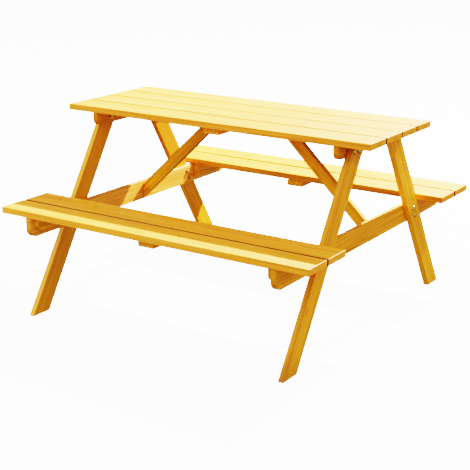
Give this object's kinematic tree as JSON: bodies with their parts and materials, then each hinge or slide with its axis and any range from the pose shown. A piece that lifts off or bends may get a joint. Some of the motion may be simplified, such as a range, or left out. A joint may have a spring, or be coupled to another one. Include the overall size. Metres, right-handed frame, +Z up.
{
  "type": "picnic table",
  "caption": "Wooden A-frame picnic table with two attached benches, sloping legs bolted to seat bearers and diagonal braces under the slatted top.",
  "frame": {"origin": "on the ground, under the middle of the tabletop", "axes": "+X along the boards, +Y from the front bench to the rear bench, +Z up"},
  "size_m": [1.3, 1.284, 0.74],
  "materials": {
    "board_wood": "golden stained softwood, satin",
    "leg_wood": "golden stained softwood, satin",
    "frame_wood": "golden stained softwood, satin",
    "zinc_steel": "zinc plated"
  },
  "bodies": {
    "root": {"tabletop_board_1": "board_wood", "tabletop_board_2": "board_wood", "tabletop_board_3": "board_wood", "tabletop_board_4": "board_wood", "front_bench_board_outer": "board_wood", "front_bench_board_inner": "board_wood", "rear_bench_board_outer": "board_wood", "rear_bench_board_inner": "board_wood", "leg_front_left": "leg_wood", "leg_front_right": "leg_wood", "leg_rear_left": "leg_wood", "leg_rear_right": "leg_wood", "seat_bearer_left": "frame_wood", "seat_bearer_right": "frame_wood", "tabletop_batten_left": "frame_wood", "tabletop_batten_right": "frame_wood", "tabletop_batten_centre": "frame_wood", "front_bench_cleat_left": "frame_wood", "front_bench_cleat_right": "frame_wood", "front_bench_cleat_centre": "frame_wood", "rear_bench_cleat_left": "frame_wood", "rear_bench_cleat_right": "frame_wood", "rear_bench_cleat_centre": "frame_wood", "brace_left": "frame_wood", "brace_right": "frame_wood", "seat_bolt_front_left_upper": "zinc_steel", "seat_bolt_front_left_lower": "zinc_steel", "seat_bolt_front_right_upper": "zinc_steel", "seat_bolt_front_right_lower": "zinc_steel", "seat_bolt_rear_left_upper": "zinc_steel", "seat_bolt_rear_left_lower": "zinc_steel", "seat_bolt_rear_right_upper": "zinc_steel", "seat_bolt_rear_right_lower": "zinc_steel", "top_bolt_front_left_outer": "zinc_steel", "top_bolt_front_left_inner": "zinc_steel", "top_bolt_front_right_outer": "zinc_steel", "top_bolt_front_right_inner": "zinc_steel", "top_bolt_rear_left_outer": "zinc_steel", "top_bolt_rear_left_inner": "zinc_steel", "top_bolt_rear_right_outer": "zinc_steel", "top_bolt_rear_right_inner": "zinc_steel", "seat_nut_front_left_upper": "zinc_steel", "seat_nut_front_left_lower": "zinc_steel", "seat_nut_front_right_upper": "zinc_steel", "seat_nut_front_right_lower": "zinc_steel", "seat_nut_rear_left_upper": "zinc_steel", "seat_nut_rear_left_lower": "zinc_steel", "seat_nut_rear_right_upper": "zinc_steel", "seat_nut_rear_right_lower": "zinc_steel", "top_nut_front_left_outer": "zinc_steel", "top_nut_front_left_inner": "zinc_steel", "top_nut_front_right_outer": "zinc_steel", "top_nut_front_right_inner": "zinc_steel", "top_nut_rear_left_outer": "zinc_steel", "top_nut_rear_left_inner": "zinc_steel", "top_nut_rear_right_outer": "zinc_steel", "top_nut_rear_right_inner": "zinc_steel"}
  },
  "joints": []
}
